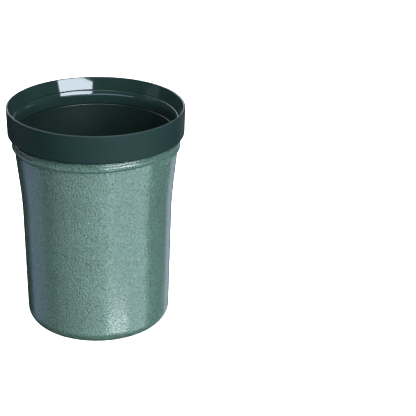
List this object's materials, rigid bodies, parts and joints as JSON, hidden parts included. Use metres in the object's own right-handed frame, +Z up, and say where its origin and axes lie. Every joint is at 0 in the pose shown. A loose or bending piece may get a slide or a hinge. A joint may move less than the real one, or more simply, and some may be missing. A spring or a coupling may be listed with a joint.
{
  "type": "disinfectant jar",
  "caption": "Open round jar: a tapered, hammered-enamel steel shell with a rolled thread at its neck, and a moulded liner and collar that lift out of it as one insert.",
  "frame": {"origin": "middle of the standing ring, on the surface the jar stands on", "axes": "+Z up along the jar's axis, towards its open mouth; the jar is round, so +X and +Y are free"},
  "size_m": [0.104, 0.104, 0.1355],
  "materials": {
    "hammered_enamel": "hammered gloss enamel on steel",
    "green_plastic": "satin outside, gloss inside",
    "liner_plastic": "gloss",
    "black_rubber": "matt"
  },
  "bodies": {
    "shell": {"outer_shell": "hammered_enamel", "base_pad": "black_rubber"},
    "insert": {"liner": "liner_plastic", "rim_gasket": "black_rubber", "throat_ring": "green_plastic", "collar": "green_plastic"}
  },
  "joints": [
    {"name": "insert_lift", "type": "slide", "parent": "shell", "child": "insert", "axis": [0, 0, 1], "range_m": [0, 0.13]}
  ]
}
